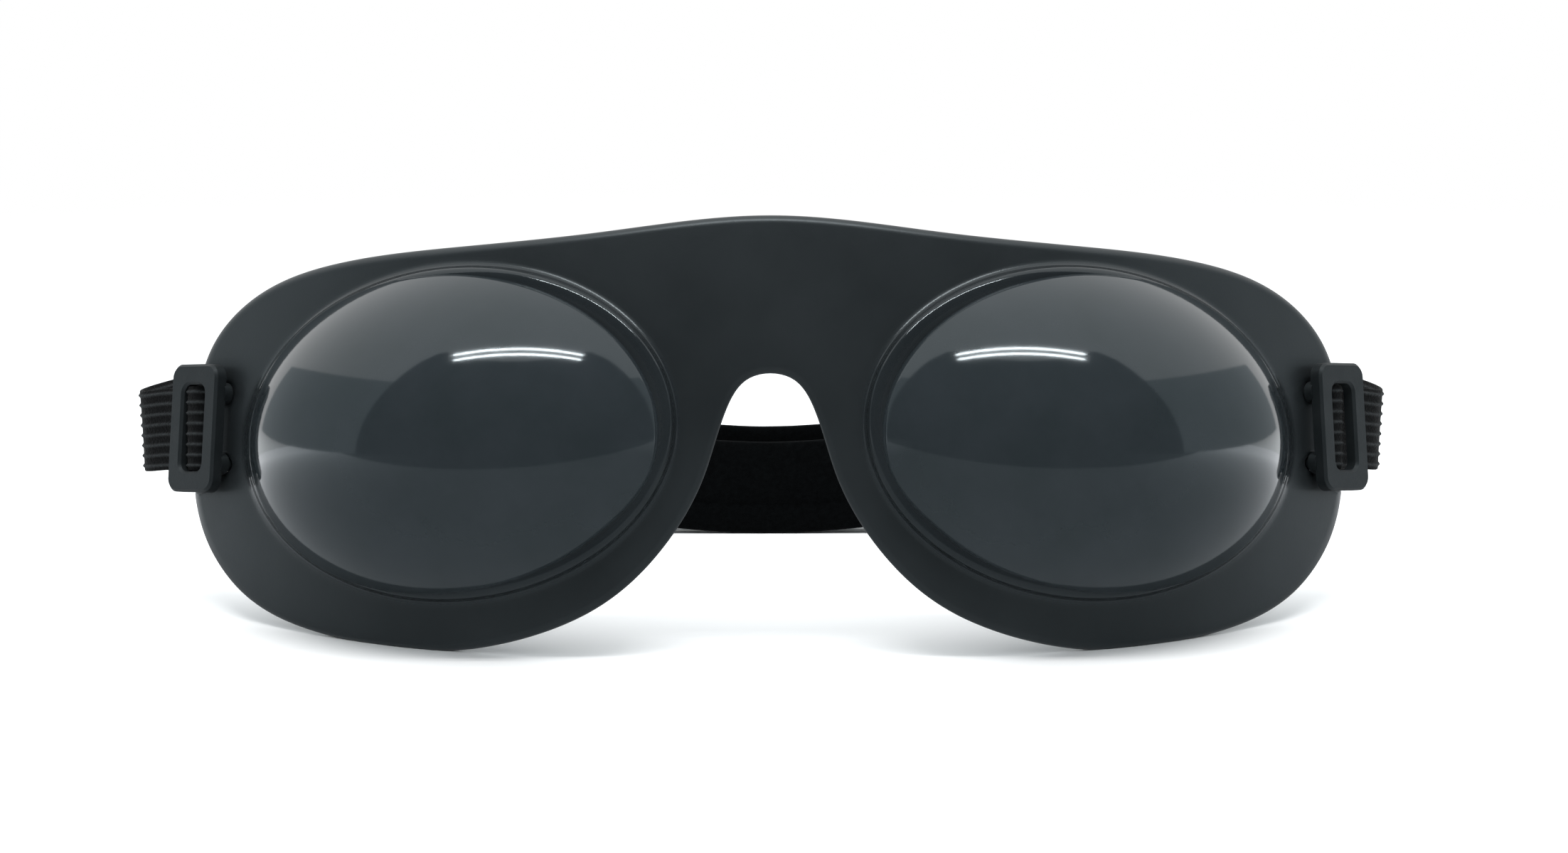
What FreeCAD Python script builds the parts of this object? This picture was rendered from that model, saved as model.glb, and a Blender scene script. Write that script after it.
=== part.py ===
"""Domed eye mask with an adjustable strap: a soft wrap-round frame, two glossy eye domes, a removable pad set
in each cup, and a ribbed elastic strap that closes behind the head.

Millimetres. +Z is up, the domes face -Y, and the mask stands as it does on a table: on the two lower lobes of
its frame and on the strap behind it. The origin is under the middle of the object's box.

The mask itself is laid out in a face frame: x across, z up the face, y back from the bridge. The face frame
then leans back and is lifted on to the table. Left pieces are drawn and right pieces are their mirror images.
"""
import FreeCAD
import Part

import math
import os

from FreeCAD import Vector

# Stance
LEAN_DEG = 10.0
RISE = 35.35
MIDDLE_Y = 45.8

# Frame: a sheet wrapped round the face
WRAP_RADIUS = 120.0
UPRIGHT_RADIUS = 330.0
SIDE_TWIST = 0.10
SIDE_REACH = 88.0
NOSE_ROLL = 3.2
NOSE_ROLL_HALF_WIDTH = 26.0
NOSE_ROLL_TOP = 14.0
NOSE_ROLL_DEPTH = 30.0
FRAME_THICK = 2.4
SHEET_HALF = (104.0, 44.0)
SHEET_ROWS = (33, 17)

# Half of the frame's outline, from the brow's middle round to the top of the nose arch
OUTLINE = [
    (0.0, 31.0), (26.0, 28.6), (48.0, 26.8), (66.0, 24.9), (79.5, 20.4), (87.6, 12.6), (90.7, 0.0),
    (88.6, -17.0), (81.0, -26.4), (66.0, -32.2), (50.0, -33.9), (35.5, -31.4), (24.0, -26.0), (15.6, -17.8),
    (9.8, -7.6), (6.6, 2.0), (3.4, 6.7), (0.0, 7.6),
]

# Eye cups: an oval step on the frame carries each dome
CUP_X = 47.5
CUP_Z = -1.2
CUP_TILT_DEG = 6.0
STEP_HALF = (33.4, 24.8)
STEP_HIGH = 2.4
SEAT_X = 48.6
SEAT_HALF = (29.4, 21.2)

# Domes: part of an ellipsoid, with a plug that fits the step's opening
DOME_X = 40.3
DOME_Y = 31.3
DOME_RADII = (40.0, 40.0, 29.8)
DOME_WALL = 1.5
DOME_FACETS = (48, 11)
DOME_SWEEP_DEG = (4.0, 104.0)
PLUG_GAP = 0.1
PLUG_WALL = 1.4
PLUG_SIDES = 48

# Pads: a foam ring with a lip behind the frame, and a bead pack in the ring's recess
FOAM_HALF = (27.3, 19.1)
LIP_HALF = (31.4, 22.6)
LIP_GAP = 0.3
LIP_SLOPE = 1.4
FOAM_BACK = 8.0
FOAM_SIDES = 44
RECESS_X = 46.6
RECESS_HALF = (18.5, 12.5)
RECESS_DEEP = 5.0
BEADS_HALF = (16.6, 3.4, 11.2)
BEADS_GAP = 0.35
BEADS_FACETS = (32, 10)
BEADS_SWEEP_DEG = (8.0, 172.0)

# Buckle, in its own frame: X inward, Y up, Z out of its face
BUCKLE_STUD_U = 84.7
BUCKLE_V = -0.4
BUCKLE_SIZE = (11.4, 20.0, 2.0)
BUCKLE_CORNER = 2.2
WINDOW_SIZE = (5.4, 13.6)
WINDOW_CORNER = 1.5
BUCKLE_EDGE = 0.4
STAND_OFF = 1.4
STUD_X = 4.4
STUD_SPREAD = 11.0
STUD_RADIUS = 1.1
STUD_BOSS_RADIUS = 1.7
STUD_BOSS_GAP = 0.25
STUD_HOLE_GAP = 0.1
STUD_ROOT = 0.3
BAR_RADIUS = 0.9
BAR_SET_BACK = 1.0
BAR_CHEEK = (3.2, 1.6, 2.5)
BACK_PLATE = (3.6, 16.0, 1.2)
BACK_PLATE_CORNER = 1.2
BACK_PLATE_GAP = 0.25

# Notch in the frame's edge behind the buckle
NOTCH_EDGE_X = 2.4
NOTCH_HALF = 8.8
NOTCH_CORNER = 2.0
NOTCH_DEEP = 20.0

# Elastic
ELASTIC_WIDE = 12.7
ELASTIC_THICK = 1.2
LOOP_THICK = 1.05
LOOP_GAP = 0.06
LOOP_SET_BACK = 0.9
FOLD_RADIUS = 0.85
FOLD_GAP = 0.4
POCKET_GAP = 0.05

# Rear bands and their tapes
INNER_BAND_WIDE = 16.0
OUTER_BAND_WIDE = 18.0
BAND_THICK = 2.6
BAND_OFFSET = 2.1
TAPE_WIDE = 12.6
TAPE_THICK = 0.62
OVERLAP = 28.0
TAPE_INSET = 2.0
HOOKS_FROM = 2.0
PILE_FROM = -34.0
SEAM = 62.0
SEAM_POCKET = 8.0
BLEND_END = 36.0

# Half sections, as shares of half the thickness and half the width: flat, and padded with a crease low on one face
FLAT = [(-1, -1), (1, -1), (1, 1), (-1, 1)]
PADDED = [
    (-0.55, -1.0), (0.55, -1.0), (1.0, -0.86), (1.0, -0.46), (0.72, -0.36), (1.0, -0.24), (1.0, 0.86),
    (0.55, 1.0), (-0.55, 1.0), (-1.0, 0.86), (-1.0, -0.86),
]

# Middle line of the strap behind the mask, from the left fold to the middle of the back, standing on the table
LOOP_LINE = [
    (-97.2, 46.3, 26.6), (-95.6, 60.0, 26.4), (-90.0, 74.0, 24.6), (-76.0, 86.4, 20.4), (-52.0, 94.2, 14.2),
    (-25.0, 96.9, 10.1), (0.0, 97.3, 8.0),
]

# Lengths that only have to be long enough to cut right through
AHEAD = 60.0
BEHIND = 100.0
CUT_LONG = 20.0

OUT = Vector(0, -1, 0)
ALONG_X = Vector(1, 0, 0)
ALONG_Y = Vector(0, 1, 0)
UP = Vector(0, 0, 1)
ORIGIN = Vector(0, 0, 0)


# The face frame

def frame_depth(x, z):
    """Depth of the frame's front face behind the bridge, at a point of the face."""
    wrap = WRAP_RADIUS - math.sqrt(WRAP_RADIUS ** 2 - x * x)
    twist = SIDE_TWIST * z * (x / SIDE_REACH) ** 2
    across = max(0.0, 1.0 - (x / NOSE_ROLL_HALF_WIDTH) ** 2)
    down = min(1.0, max(0.0, (NOSE_ROLL_TOP - z) / NOSE_ROLL_DEPTH))
    roll = NOSE_ROLL * across ** 2 * down * down * (3 - 2 * down)
    return wrap + z * z / (2 * UPRIGHT_RADIUS) + twist + roll


def frame_sheet():
    """The frame's front face as one smooth surface, larger than the outline."""
    across, rise = SHEET_ROWS
    half_wide, half_high = SHEET_HALF
    rows = []
    for i in range(across):
        x = half_wide * (2 * i / (across - 1) - 1)
        row = []
        for j in range(rise):
            z = half_high * (2 * j / (rise - 1) - 1)
            row.append(Vector(x, frame_depth(x, z), z))
        rows.append(row)
    surface = Part.BSplineSurface()
    surface.interpolate(rows)
    return surface.toShape()


def layer(sheet, front, back):
    """A solid between two copies of the sheet, moved back from it by front and by back."""
    moved = sheet.translated(Vector(0, front, 0))
    return moved.extrude(Vector(0, back - front, 0))


def flip(shape):
    """The right-hand piece that matches a left-hand one."""
    return shape.mirror(ORIGIN, ALONG_X)


def stand(shape):
    """Moves a piece from the face frame to where the mask stands on the table."""
    moved = shape.copy()
    moved.rotate(ORIGIN, ALONG_X, -LEAN_DEG)
    moved.translate(Vector(0, -MIDDLE_Y, RISE))
    return moved


def face_point(point):
    """A point of the strap's line as a point of the face frame."""
    lean = math.radians(LEAN_DEG)
    y, z = point.y, point.z - RISE
    return Vector(point.x, y * math.cos(lean) - z * math.sin(lean), y * math.sin(lean) + z * math.cos(lean))


# Shared forms

def outline_prism():
    right = [Vector(x, 0, z) for x, z in OUTLINE]
    left = [Vector(-x, 0, z) for x, z in OUTLINE[-2:0:-1]]
    curve = Part.BSplineCurve()
    curve.interpolate(right + left, PeriodicFlag=True)
    face = Part.Face(Part.Wire([curve.toShape()]))
    return face.translated(OUT * AHEAD).extrude(ALONG_Y * (AHEAD + BEHIND))


def oval_points(half, sides):
    """Corners of a many-sided oval in the XY plane."""
    turns = [2 * math.pi * i / sides for i in range(sides)]
    return [Vector(half[0] * math.cos(turn), half[1] * math.sin(turn), 0) for turn in turns]


def oval_prism(x, half, sides=0):
    """An oval cut through the left eye cup, straight along y, smooth or with many flat sides."""
    if sides:
        corners = oval_points(half, sides)
        face = Part.Face(Part.makePolygon(corners + corners[:1]))
    else:
        oval = Part.Ellipse(ORIGIN, half[0], half[1])
        face = Part.Face(Part.Wire([oval.toShape()]))
    face.rotate(ORIGIN, ALONG_X, 90)
    face.rotate(ORIGIN, OUT, CUP_TILT_DEG)
    face.translate(Vector(-x, -AHEAD, CUP_Z))
    return face.extrude(ALONG_Y * (AHEAD + BEHIND))


def egg(radii, facets, sweep_deg):
    """An ellipsoid in flat facets, closed by a small flat at each end of its sweep along y."""
    sides, rings = facets
    first, last = sweep_deg
    loops = []
    for k in range(rings):
        angle = math.radians(first + (last - first) * k / (rings - 1))
        half = (radii[0] * math.sin(angle), radii[2] * math.sin(angle))
        ahead = -radii[1] * math.cos(angle)
        loops.append([Vector(p.x, ahead, p.y) for p in oval_points(half, sides)])
    outlines = [loops[0], loops[-1]]
    for near, far in zip(loops, loops[1:]):
        for i in range(sides):
            j = (i + 1) % sides
            outlines.append([near[i], near[j], far[j], far[i]])
    faces = [Part.Face(Part.makePolygon(points + points[:1])) for points in outlines]
    body = Part.makeSolid(Part.makeShell(faces))
    body.rotate(ORIGIN, OUT, CUP_TILT_DEG)
    return body


def rounded_block(size, corner, bottom):
    """A plate in the XY plane with round corners, from Z = bottom up."""
    wide, high, thick = size
    block = Part.makeBox(wide, high, thick, Vector(-wide / 2, -high / 2, bottom))
    upright = [e for e in block.Edges if abs(e.tangentAt(e.FirstParameter).z) > 0.99]
    return block.makeFillet(corner, upright)


def placed(shape, where):
    moved = shape.copy()
    moved.Placement = where.multiply(moved.Placement)
    return moved


# Frame, domes and pads

def mask_frame(sheet, notch):
    flange = layer(sheet, 0, FRAME_THICK).common(outline_prism())
    raised = layer(sheet, -STEP_HIGH, FRAME_THICK)
    step = raised.common(oval_prism(CUP_X, STEP_HALF))
    opening = oval_prism(SEAT_X, SEAT_HALF)
    return flange.fuse([step, flip(step)]).cut([opening, flip(opening), notch, flip(notch)])


def dome(sheet):
    """A thin half egg that ends on the step's ledge, with a hollow plug behind it."""
    ledge_back = layer(sheet, -STEP_HIGH, BEHIND)
    middle = Vector(-DOME_X, DOME_Y, CUP_Z)
    outer = egg(DOME_RADII, DOME_FACETS, DOME_SWEEP_DEG).translated(middle)
    hollow = egg([r - DOME_WALL for r in DOME_RADII], DOME_FACETS, DOME_SWEEP_DEG).translated(middle)
    plug_half = [h - PLUG_GAP for h in SEAT_HALF]
    bore_half = [h - PLUG_WALL for h in plug_half]
    plug = layer(sheet, -STEP_HIGH - DOME_WALL, FRAME_THICK).common(oval_prism(SEAT_X, plug_half, PLUG_SIDES))
    bore = oval_prism(SEAT_X, bore_half, PLUG_SIDES).common(layer(sheet, -STEP_HIGH - DOME_WALL, BEHIND))
    cap = outer.cut([ledge_back, hollow])
    plug = plug.common(outer.fuse(ledge_back)).cut(bore)
    plug = plug.cut(hollow.cut(ledge_back))
    return cap.fuse(plug)


def foam_insert(sheet):
    """A foam ring that fills the dome's plug and seals round the eye, with a recess for the bead pack."""
    core = layer(sheet, 0, FOAM_BACK).common(oval_prism(SEAT_X, FOAM_HALF, FOAM_SIDES))
    lip = layer(sheet, FRAME_THICK + LIP_GAP, FOAM_BACK)
    lip = lip.common(oval_prism(SEAT_X, LIP_HALF))
    back_edges = [e for e in lip.Edges if all(is_at_back(v.Point) for v in e.Vertexes)]
    lip = lip.makeChamfer(LIP_SLOPE, back_edges)
    recess = oval_prism(RECESS_X, RECESS_HALF, FOAM_SIDES)
    recess = recess.common(layer(sheet, FOAM_BACK - RECESS_DEEP, BEHIND))
    return core.fuse(lip).cut(recess)


def is_at_back(point):
    """Whether a point lies on the back face of the foam."""
    on_edge = 0.05
    return abs(point.y - frame_depth(point.x, point.z) - FOAM_BACK) < on_edge


def bead_pack():
    """A crowned pack of beads that lies in the foam's recess, square to the wrap of the frame."""
    turn = math.asin(RECESS_X / WRAP_RADIUS)
    floor = frame_depth(RECESS_X, CUP_Z) + FOAM_BACK - RECESS_DEEP
    raised = (BEADS_HALF[1] + BEADS_GAP) / math.cos(turn)
    pack = egg(BEADS_HALF, BEADS_FACETS, BEADS_SWEEP_DEG)
    pack.rotate(ORIGIN, UP, -math.degrees(turn))
    pack.translate(Vector(-RECESS_X, floor + raised, CUP_Z))
    return pack


# Buckle

def buckle_place():
    """Where the left buckle's own frame lies on the face."""
    u, v = -BUCKLE_STUD_U, BUCKLE_V
    step = 0.01
    slope_x = (frame_depth(u + step, v) - frame_depth(u - step, v)) / (2 * step)
    slope_z = (frame_depth(u, v + step) - frame_depth(u, v - step)) / (2 * step)
    normal = Vector(slope_x, -1, slope_z).normalize()
    up = (UP - normal * UP.dot(normal)).normalize()
    inward = up.cross(normal)
    origin = Vector(u, frame_depth(u, v), v) + normal * STAND_OFF - inward * STUD_X
    return FreeCAD.Placement(origin, FreeCAD.Rotation(inward, up, normal, "XYZ"))


def at_studs(radius, high, bottom):
    """A cylinder at each of the two studs, from Z = bottom up."""
    ends = (-STUD_SPREAD / 2, STUD_SPREAD / 2)
    return [Part.makeCylinder(radius, high, Vector(STUD_X, y, bottom)) for y in ends]


def buckle_plate():
    plate = rounded_block(BUCKLE_SIZE, BUCKLE_CORNER, 0)
    window = rounded_block((*WINDOW_SIZE, CUT_LONG), WINDOW_CORNER, -CUT_LONG / 2)
    plate = plate.cut(window)
    rim = [e for e in plate.Edges if abs(e.BoundBox.ZMin - BUCKLE_SIZE[2]) < 0.01]
    return plate.makeChamfer(BUCKLE_EDGE, rim)


def buckle():
    """The plate, the bar that the elastic wraps, and the two studs that go through the frame."""
    cheek_x, cheek_y, cheek_z = BAR_CHEEK
    half_window = WINDOW_SIZE[1] / 2
    pieces = []
    for low in (half_window, -half_window - cheek_y):
        corner = Vector(-cheek_x / 2, low, STUD_ROOT - cheek_z)
        pieces.append(Part.makeBox(cheek_x, cheek_y, cheek_z, corner))
    bar_long = WINDOW_SIZE[1] + cheek_y
    bar_start = Vector(0, -bar_long / 2, -BAR_SET_BACK)
    pieces.append(Part.makeCylinder(BAR_RADIUS, bar_long, bar_start, ALONG_Y))
    boss_bottom = STUD_BOSS_GAP - STAND_OFF
    pieces += at_studs(STUD_BOSS_RADIUS, STUD_ROOT - boss_bottom, boss_bottom)
    reach = STAND_OFF + FRAME_THICK + BACK_PLATE[2]
    pieces += at_studs(STUD_RADIUS, reach + STUD_ROOT, -reach)
    return buckle_plate().fuse(pieces).removeSplitter()


def back_plate():
    top = -STAND_OFF - FRAME_THICK - BACK_PLATE_GAP
    plate = rounded_block(BACK_PLATE, BACK_PLATE_CORNER, top - BACK_PLATE[2])
    plate.translate(Vector(STUD_X, 0, 0))
    return plate.cut(at_studs(STUD_RADIUS + STUD_HOLE_GAP, CUT_LONG, -CUT_LONG / 2))


def strap_notch():
    """What the frame loses behind the buckle: a notch for the strap's loop and two stud holes."""
    notch = rounded_block((NOTCH_DEEP, 2 * NOTCH_HALF, CUT_LONG), NOTCH_CORNER, -CUT_LONG / 2)
    notch.translate(Vector(NOTCH_EDGE_X - NOTCH_DEEP / 2, 0, 0))
    return notch.fuse(at_studs(STUD_RADIUS + STUD_HOLE_GAP, CUT_LONG, -CUT_LONG / 2))


# Strap

def elastic_loop(where, fold):
    """The doubled end of the elastic: it wraps the buckle's bar and runs out to the fold."""
    inner = BAR_RADIUS + LOOP_GAP
    outer = inner + LOOP_THICK
    low = -ELASTIC_WIDE / 2
    bar_end = Vector(0, low, -BAR_SET_BACK)
    sleeve = Part.makeCylinder(outer, ELASTIC_WIDE, bar_end, ALONG_Y)
    room = Part.makeCylinder(inner, ELASTIC_WIDE, bar_end, ALONG_Y)
    reach = where.inverse().multVec(face_point(fold)).x + FOLD_RADIUS + FOLD_GAP
    top = -LOOP_SET_BACK
    bottom = -BAR_SET_BACK - outer
    tail = Part.makeBox(-reach, ELASTIC_WIDE, top - bottom, Vector(reach, low, bottom))
    return placed(sleeve.fuse(tail).removeSplitter().cut(room), where)


def fold_room(fold):
    """The room that the elastic's knuckle needs to turn in."""
    return Part.makeCylinder(FOLD_RADIUS + FOLD_GAP, 2 * ELASTIC_WIDE, fold - UP * ELASTIC_WIDE)


def loop_curve():
    left = [Vector(*p) for p in LOOP_LINE]
    right = [Vector(-p.x, p.y, p.z) for p in left[-2::-1]]
    curve = Part.BSplineCurve()
    curve.interpolate(left + right)
    return curve


def parameter_at_x(curve, x):
    low, high = curve.FirstParameter, curve.LastParameter
    for _ in range(50):
        middle = (low + high) / 2
        if curve.value(middle).x < x:
            low = middle
        else:
            high = middle
    return (low + high) / 2


def strip(curve, span, size, offset=None, section=FLAT, lift=0.0, ruled=False):
    """A strap along the curve, lofted through upright sections. span is its two ends as x and its number of
    sections, size its thickness and width, and offset(x) how far its middle stands outside the curve."""
    start, end, count = span
    thick, wide = size
    first = parameter_at_x(curve, start)
    last = parameter_at_x(curve, end)
    loops = []
    for i in range(count):
        s = first + (last - first) * i / (count - 1)
        at = curve.value(s)
        along = curve.tangent(s)[0]
        width = (UP - along * UP.dot(along)).normalize()
        inward = along.cross(width)
        middle = at + UP * lift
        if offset:
            middle -= inward * offset(at.x)
        corners = []
        for across, high in section:
            corners.append(middle + inward * (across * thick / 2) + width * (high * wide / 2))
        loops.append(Part.makePolygon(corners + corners[:1]))
    return Part.makeLoft(loops, True, ruled)


def band_offset(x):
    """How far a band's middle stands off the strap's line: nothing at its seam, the full step at the overlap."""
    share = min(1.0, max(0.0, (SEAM + x) / (SEAM - BLEND_END)))
    return BAND_OFFSET * share * share * (3 - 2 * share)


def elastic(curve, extra=0.0):
    """The ribbed elastic from the fold to its end in the rear band. extra makes the pocket it is sewn into."""
    fold = Vector(*LOOP_LINE[0])
    size = (ELASTIC_THICK + 2 * extra, ELASTIC_WIDE + 2 * extra)
    strap = strip(curve, (fold.x, SEAM_POCKET - SEAM + extra, 17), size, ruled=True)
    knuckle = Part.makeCylinder(FOLD_RADIUS, ELASTIC_WIDE, fold - UP * (ELASTIC_WIDE / 2))
    return strap.fuse(knuckle)


def rear_bands(curve):
    """The outer band, drawn from the left, and the inner band, drawn from the left and flipped by the caller."""
    pocket = elastic(curve, POCKET_GAP)
    span = (-SEAM, OVERLAP, 15)
    lift = (OUTER_BAND_WIDE - INNER_BAND_WIDE) / 2
    outer = strip(curve, span, (BAND_THICK, OUTER_BAND_WIDE), band_offset, PADDED, lift)
    inner = strip(curve, span, (BAND_THICK, INNER_BAND_WIDE), lambda x: -band_offset(x), PADDED)
    return outer.cut(pocket), inner.cut(pocket)


def tapes(curve, outer, inner):
    """The hooks on the outer band's front face and the pile on the inner band's back face."""
    size = (TAPE_THICK, TAPE_WIDE)
    stand_off = BAND_OFFSET - BAND_THICK / 2 - TAPE_THICK / 2
    hooks = strip(curve, (HOOKS_FROM, OVERLAP - TAPE_INSET, 5), size, lambda x: stand_off)
    pile = strip(curve, (PILE_FROM, OVERLAP - TAPE_INSET, 7), size, lambda x: -stand_off)
    return hooks.cut(outer), pile.cut(inner)


# Assembly

def both_sides(parts, name, left):
    parts["left_" + name] = left
    parts["right_" + name] = flip(left)


def export(name, shape):
    solids = shape.Solids
    body = solids[0] if len(solids) == 1 else Part.makeCompound(solids)
    body.exportStep(os.path.join("parts", name + ".step"))
    box = body.optimalBoundingBox(False)
    ends = (box.XMin, box.XMax, box.YMin, box.YMax, box.ZMin, box.ZMax)
    print(name, len(solids), body.isValid(), round(body.Volume, 1), [round(v, 1) for v in ends])


def main():
    os.makedirs("parts", exist_ok=True)
    sheet = frame_sheet()
    where = buckle_place()
    parts = {}

    floor = Part.makeBox(4 * BEHIND, 4 * BEHIND, BEHIND, Vector(-2 * BEHIND, -2 * BEHIND, -BEHIND))
    parts["mask_frame"] = stand(mask_frame(sheet, placed(strap_notch(), where))).cut(floor)
    both_sides(parts, "dome", stand(dome(sheet)))
    both_sides(parts, "foam_insert", stand(foam_insert(sheet)))
    both_sides(parts, "bead_pack", stand(bead_pack()))
    both_sides(parts, "buckle", stand(placed(buckle(), where)))
    both_sides(parts, "back_plate", stand(placed(back_plate(), where)))

    curve = loop_curve()
    shift = OUT * MIDDLE_Y
    fold = Vector(*LOOP_LINE[0])
    both_sides(parts, "elastic_loop", stand(elastic_loop(where, fold)).cut(fold_room(fold + shift)))
    outer, inner = rear_bands(curve)
    hooks, pile = tapes(curve, outer, inner)
    both_sides(parts, "elastic", elastic(curve).translated(shift))
    parts["left_rear_band"] = outer.translated(shift)
    parts["right_rear_band"] = flip(inner.translated(shift))
    parts["hook_tape"] = hooks.translated(shift)
    parts["pile_tape"] = flip(pile.translated(shift))

    for name, shape in parts.items():
        export(name, shape)


main()
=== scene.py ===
import math

import bmesh
import bpy
import numpy as np
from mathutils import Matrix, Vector, noise
from mathutils.geometry import delaunay_2d_cdt


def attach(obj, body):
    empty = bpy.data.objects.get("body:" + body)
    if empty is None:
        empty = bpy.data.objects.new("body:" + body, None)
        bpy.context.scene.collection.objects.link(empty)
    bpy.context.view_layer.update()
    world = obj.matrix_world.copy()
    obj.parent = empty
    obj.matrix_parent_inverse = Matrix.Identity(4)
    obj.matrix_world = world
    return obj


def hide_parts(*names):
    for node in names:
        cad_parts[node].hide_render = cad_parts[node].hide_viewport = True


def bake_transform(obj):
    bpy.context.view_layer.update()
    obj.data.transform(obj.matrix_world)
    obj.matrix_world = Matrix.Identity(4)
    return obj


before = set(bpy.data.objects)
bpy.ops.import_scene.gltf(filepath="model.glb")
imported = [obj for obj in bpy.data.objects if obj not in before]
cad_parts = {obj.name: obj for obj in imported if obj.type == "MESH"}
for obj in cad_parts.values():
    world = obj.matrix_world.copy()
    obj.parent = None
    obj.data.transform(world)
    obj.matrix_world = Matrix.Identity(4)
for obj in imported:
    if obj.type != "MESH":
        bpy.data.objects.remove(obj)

# Lengths below are in millimetres, and MM turns them into Blender's metres.
# The face frame is x across, z up the face and y back from the bridge, as in the CAD source.
MM = 0.001

# Stance
LEAN = math.radians(10.0)
RISE = 35.35
MIDDLE_Y = 45.8

# Frame
WRAP_RADIUS = 120.0
UPRIGHT_RADIUS = 330.0
SIDE_TWIST = 0.10
SIDE_REACH = 88.0
NOSE_ROLL = 3.2
NOSE_ROLL_HALF_WIDTH = 26.0
NOSE_ROLL_TOP = 14.0
NOSE_ROLL_DEPTH = 30.0
FRAME_THICK = 2.4
OUTLINE = [
    (0.0, 31.0), (26.0, 28.6), (48.0, 26.8), (66.0, 24.9), (79.5, 20.4), (87.6, 12.6), (90.7, 0.0),
    (88.6, -17.0), (81.0, -26.4), (66.0, -32.2), (50.0, -33.9), (35.5, -31.4), (24.0, -26.0), (15.6, -17.8),
    (9.8, -7.6), (6.6, 2.0), (3.4, 6.7), (0.0, 7.6),
]
RIM_INSETS = (0.0, 0.06, 0.2, 0.42, 0.7, 1.0, 1.25)
RIM_POINTS = 620
GRID = 1.7
FILL_X = (-90.0, 90.1)
FILL_Z = (-34.0, 32.0)
FILL_CLEAR_RIM = 0.9
FILL_CLEAR = 0.6
INTERIOR = 9.0

# Eye cups and domes
CUP_X = 47.5
CUP_Z = -1.2
CUP_TILT = math.radians(6.0)
STEP_HALF = (33.4, 24.8)
STEP_HIGH = 2.4
STEP_ROUND = 1.2
STEP_FILLET = 1.2
STEP_LOOPS = (
    -2.0, -1.5, -1.2, -0.95, -0.7, -0.45, -0.25, -0.1, -0.02,
    0.0, 0.02, 0.1, 0.25, 0.5, 0.85, 1.2, 1.8,
)
STEP_POINTS = 260
SEAT_X = 48.6
SEAT_HALF = (29.4, 21.2)
SEAT_POINTS = 220
DOME_CENTRE = (-40.3, 31.3, -1.2)
DOME_RADII = (40.0, 40.0, 29.8)
DOME_WALL = 1.5
DOME_POLE = (-0.25, -0.97, 0.0)
DOME_EDGE = 0.05
OUTER_ROWS = 40
INNER_ROWS = 20
PLUG_GAP = 0.1
PLUG_WALL = 1.4
AROUND = 112

# Pads
FOAM_HALF = (27.3, 19.1)
LIP_HALF = (31.4, 22.6)
LIP_FRONT = 2.7
FOAM_BACK = 8.0
FOAM_ROUND = 1.6
FOAM_CROWN = 0.8
RECESS_X = 46.6
RECESS_HALF = (18.5, 12.5)
RECESS_DEEP = 5.0
BEADS_HALF = (16.6, 3.4, 11.2)
BEADS_GAP = 0.35

# Buckle and strap
STUD_U = 84.7
BUCKLE_V = -0.4
STAND_OFF = 1.4
STUD_X = 4.4
STUD_SPREAD = 11.0
STUD_HOLE = 1.2
STUD_POINTS = 20
NOTCH_U = 86.6
NOTCH_HALF = 8.8
NOTCH_EASE = 2.0
ELASTIC_WIDE = 12.7
ELASTIC_THICK = 1.05
ELASTIC_SPARE = 0.8
RIBS = 8
RIB_HIGH = 0.28
FOLD_BULGE = {"left": 1.7, "right": -0.4}
FOLD_TWIST = 0.10
FOLD_SPREAD = 11.0
WRAP_RIBBON = [
    (-8.0, -2.55), (-4.0, -2.5), (-1.0, -2.5), (1.25, -1.9), (1.5, -0.8), (0.7, 0.3), (-0.8, 0.45),
    (-2.4, -0.6), (-4.6, -1.35), (-8.5, -1.4),
]
WRAP_STATIONS = 150
ELASTIC_STATIONS = 420
BEND_SHIFT = (0.35, -0.5, 0.0)
UPRIGHT_START = -2.0
UPRIGHT_RUN = 14.0
INNER_BAND_WIDE = 16.0
OUTER_BAND_WIDE = 18.0
BAND_THICK = 2.6
BAND_OFFSET = 2.1
OVERLAP = 28.0
SEAM = 62.0
SEAM_POCKET = 8.0
BLEND_END = 36.0
BAND_STATIONS = 900
BAND_SKIP = 3
END_LOOPS = 4
END_SCALE = 0.25
LUMP_SCALE = 0.22
LUMP_HIGH = 0.10
LOOP_LINE = [
    (-97.2, 46.3, 26.6), (-95.6, 60.0, 26.4), (-90.0, 74.0, 24.6), (-76.0, 86.4, 20.4), (-52.0, 94.2, 14.2),
    (-25.0, 96.9, 10.1), (0.0, 97.3, 8.0),
]


# Shared geometry

def depth(x, z):
    """Depth of the frame's front face behind the bridge."""
    wrap = WRAP_RADIUS - np.sqrt(WRAP_RADIUS ** 2 - x * x)
    twist = SIDE_TWIST * z * (x / SIDE_REACH) ** 2
    across = np.clip(1.0 - (x / NOSE_ROLL_HALF_WIDTH) ** 2, 0.0, 1.0)
    down = np.clip((NOSE_ROLL_TOP - z) / NOSE_ROLL_DEPTH, 0.0, 1.0)
    roll = NOSE_ROLL * across ** 2 * down * down * (3 - 2 * down)
    return wrap + z * z / (2 * UPRIGHT_RADIUS) + twist + roll


def stand(points):
    """Face frame to the table, in metres."""
    p = np.asarray(points, float)
    y = p[:, 1] * math.cos(LEAN) + p[:, 2] * math.sin(LEAN) - MIDDLE_Y
    z = -p[:, 1] * math.sin(LEAN) + p[:, 2] * math.cos(LEAN) + RISE
    return np.column_stack([p[:, 0], y, z]) * MM


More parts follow.
